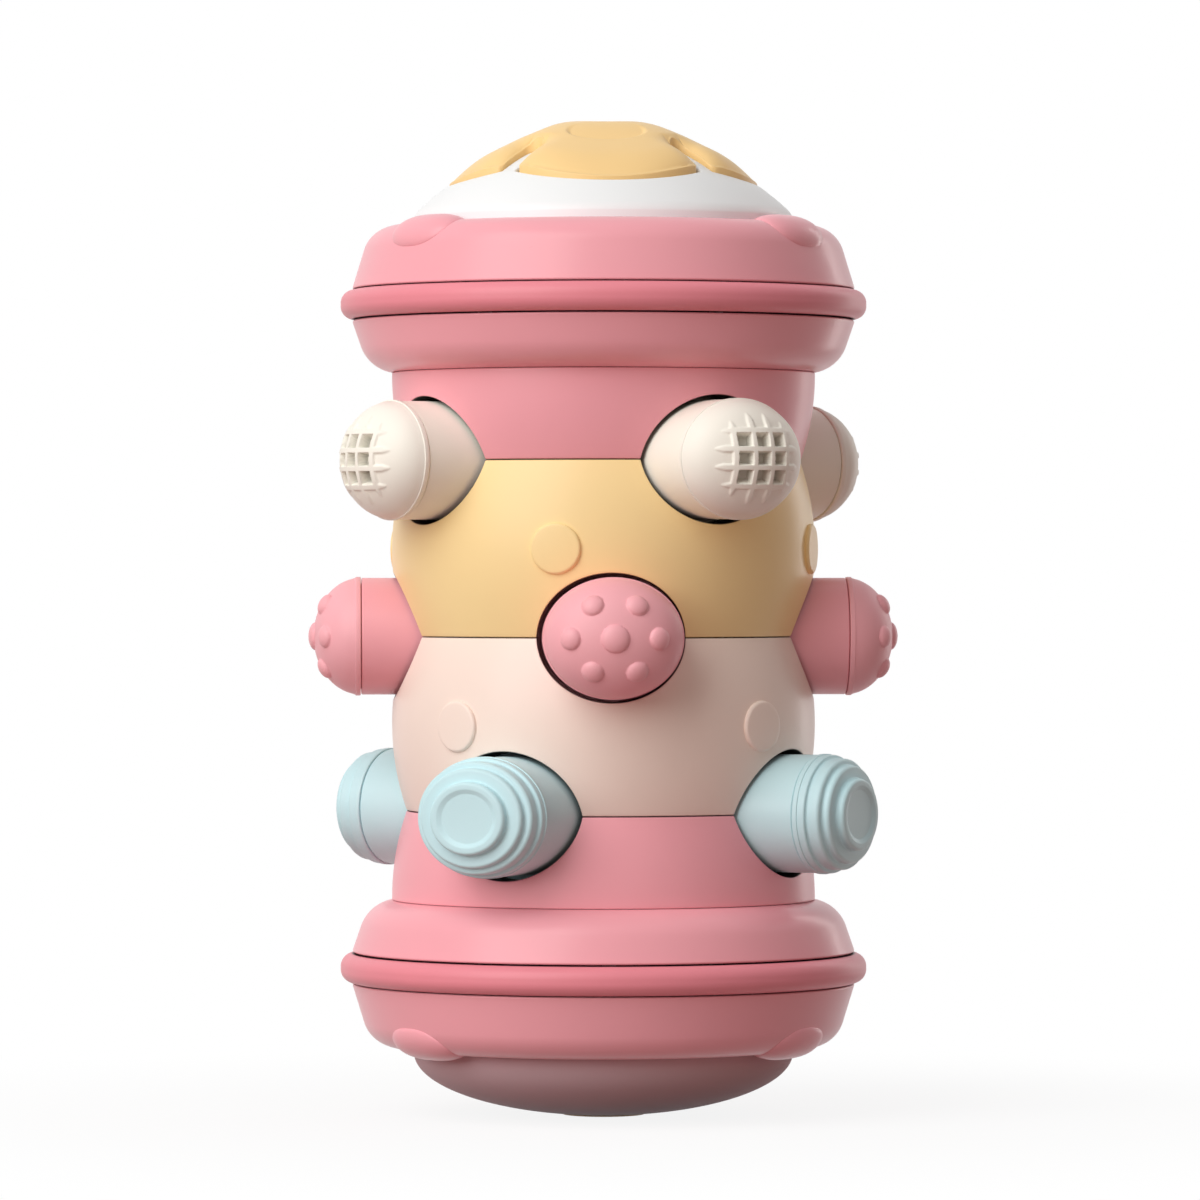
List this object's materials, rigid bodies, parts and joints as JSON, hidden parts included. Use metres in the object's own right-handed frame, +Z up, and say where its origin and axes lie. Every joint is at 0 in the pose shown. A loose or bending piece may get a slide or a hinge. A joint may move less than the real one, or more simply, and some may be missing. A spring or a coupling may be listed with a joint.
{
  "type": "crawling roller",
  "caption": "Upright baby crawling roller: barrel bands between flanged ends, rows of sprung oval push pegs with textured soft caps at the seams, and a press-in flower on the upper dome.",
  "frame": {"origin": "centre of the flat foot, on the surface the roller stands on", "axes": "+Z up along the roller's axis; -Y is the side with the middle peg of the picture, +X is to its right"},
  "size_m": [0.1356, 0.1356, 0.2284],
  "materials": {
    "shell_pink": "satin moulded plastic",
    "rim_pink": "semi-gloss moulded plastic",
    "tyre_pink": "smooth soft rubber",
    "band_yellow": "satin moulded plastic",
    "band_blush": "satin moulded plastic",
    "cap_cream": "smooth soft rubber",
    "cap_pink": "smooth soft rubber",
    "cap_blue": "smooth soft rubber",
    "peg_cream": "satin moulded plastic",
    "peg_pink": "satin moulded plastic",
    "peg_blue": "satin moulded plastic",
    "dome_white": "gloss moulded plastic",
    "flower_yellow": "gloss moulded plastic",
    "foot_yellow": "satin moulded plastic",
    "frame_plastic": "plain inner moulding",
    "steel": "bright drawn wire"
  },
  "bodies": {
    "roller": {"band_top_pink": "shell_pink", "band_yellow": "band_yellow", "band_blush": "band_blush", "band_bottom_pink": "shell_pink", "inner_rim_top": "rim_pink", "inner_rim_bottom": "rim_pink", "outer_rim_top": "rim_pink", "outer_rim_bottom": "rim_pink", "tyre_top": "tyre_pink", "tyre_bottom": "tyre_pink", "dome_top": "dome_white", "dome_bottom": "dome_white", "foot_disc": "foot_yellow", "spine": "frame_plastic", "rim_screws_top": "steel", "rim_screws_bottom": "steel", "button_spring": "steel", "cream_spring_1": "steel", "cream_spring_2": "steel", "cream_spring_3": "steel", "cream_spring_4": "steel", "pink_spring_1": "steel", "pink_spring_2": "steel", "pink_spring_3": "steel", "pink_spring_4": "steel", "blue_spring_1": "steel", "blue_spring_2": "steel", "blue_spring_3": "steel", "blue_spring_4": "steel"},
    "flower": {"flower_button": "flower_yellow"},
    "peg_cream_1": {"cream_cap_1": "cap_cream", "cream_plunger_1": "peg_cream"},
    "peg_cream_2": {"cream_cap_2": "cap_cream", "cream_plunger_2": "peg_cream"},
    "peg_cream_3": {"cream_cap_3": "cap_cream", "cream_plunger_3": "peg_cream"},
    "peg_cream_4": {"cream_cap_4": "cap_cream", "cream_plunger_4": "peg_cream"},
    "peg_pink_1": {"pink_cap_1": "cap_pink", "pink_plunger_1": "peg_pink"},
    "peg_pink_2": {"pink_cap_2": "cap_pink", "pink_plunger_2": "peg_pink"},
    "peg_pink_3": {"pink_cap_3": "cap_pink", "pink_plunger_3": "peg_pink"},
    "peg_pink_4": {"pink_cap_4": "cap_pink", "pink_plunger_4": "peg_pink"},
    "peg_blue_1": {"blue_cap_1": "cap_blue", "blue_plunger_1": "peg_blue"},
    "peg_blue_2": {"blue_cap_2": "cap_blue", "blue_plunger_2": "peg_blue"},
    "peg_blue_3": {"blue_cap_3": "cap_blue", "blue_plunger_3": "peg_blue"},
    "peg_blue_4": {"blue_cap_4": "cap_blue", "blue_plunger_4": "peg_blue"}
  },
  "joints": [
    {"name": "push_cream_1", "type": "slide", "parent": "roller", "child": "peg_cream_1", "axis": [-0.5, 0.866, 0], "range_m": [0, 0.01], "stiffness_N_per_m": 180, "springref_m": -0.005, "deforming": ["cream_spring_1"]},
    {"name": "push_cream_2", "type": "slide", "parent": "roller", "child": "peg_cream_2", "axis": [-0.866, -0.5, 0], "range_m": [0, 0.01], "stiffness_N_per_m": 180, "springref_m": -0.005, "deforming": ["cream_spring_2"]},
    {"name": "push_cream_3", "type": "slide", "parent": "roller", "child": "peg_cream_3", "axis": [0.5, -0.866, 0], "range_m": [0, 0.01], "stiffness_N_per_m": 180, "springref_m": -0.005, "deforming": ["cream_spring_3"]},
    {"name": "push_cream_4", "type": "slide", "parent": "roller", "child": "peg_cream_4", "axis": [0.866, 0.5, 0], "range_m": [0, 0.01], "stiffness_N_per_m": 180, "springref_m": -0.005, "deforming": ["cream_spring_4"]},
    {"name": "push_pink_1", "type": "slide", "parent": "roller", "child": "peg_pink_1", "axis": [0, 1, 0], "range_m": [0, 0.01], "stiffness_N_per_m": 180, "springref_m": -0.005, "deforming": ["pink_spring_1"]},
    {"name": "push_pink_2", "type": "slide", "parent": "roller", "child": "peg_pink_2", "axis": [-1, 0, 0], "range_m": [0, 0.01], "stiffness_N_per_m": 180, "springref_m": -0.005, "deforming": ["pink_spring_2"]},
    {"name": "push_pink_3", "type": "slide", "parent": "roller", "child": "peg_pink_3", "axis": [0, -1, 0], "range_m": [0, 0.01], "stiffness_N_per_m": 180, "springref_m": -0.005, "deforming": ["pink_spring_3"]},
    {"name": "push_pink_4", "type": "slide", "parent": "roller", "child": "peg_pink_4", "axis": [1, 0, 0], "range_m": [0, 0.01], "stiffness_N_per_m": 180, "springref_m": -0.005, "deforming": ["pink_spring_4"]},
    {"name": "push_blue_1", "type": "slide", "parent": "roller", "child": "peg_blue_1", "axis": [0.5, 0.866, 0], "range_m": [0, 0.01], "stiffness_N_per_m": 180, "springref_m": -0.005, "deforming": ["blue_spring_1"]},
    {"name": "push_blue_2", "type": "slide", "parent": "roller", "child": "peg_blue_2", "axis": [-0.866, 0.5, 0], "range_m": [0, 0.01], "stiffness_N_per_m": 180, "springref_m": -0.005, "deforming": ["blue_spring_2"]},
    {"name": "push_blue_3", "type": "slide", "parent": "roller", "child": "peg_blue_3", "axis": [-0.5, -0.866, 0], "range_m": [0, 0.01], "stiffness_N_per_m": 180, "springref_m": -0.005, "deforming": ["blue_spring_3"]},
    {"name": "push_blue_4", "type": "slide", "parent": "roller", "child": "peg_blue_4", "axis": [0.866, -0.5, 0], "range_m": [0, 0.01], "stiffness_N_per_m": 180, "springref_m": -0.005, "deforming": ["blue_spring_4"]},
    {"name": "press_flower", "type": "slide", "parent": "roller", "child": "flower", "axis": [0, 0, -1], "range_m": [0, 0.0025], "stiffness_N_per_m": 300, "springref_m": -0.004, "deforming": ["button_spring"]}
  ]
}
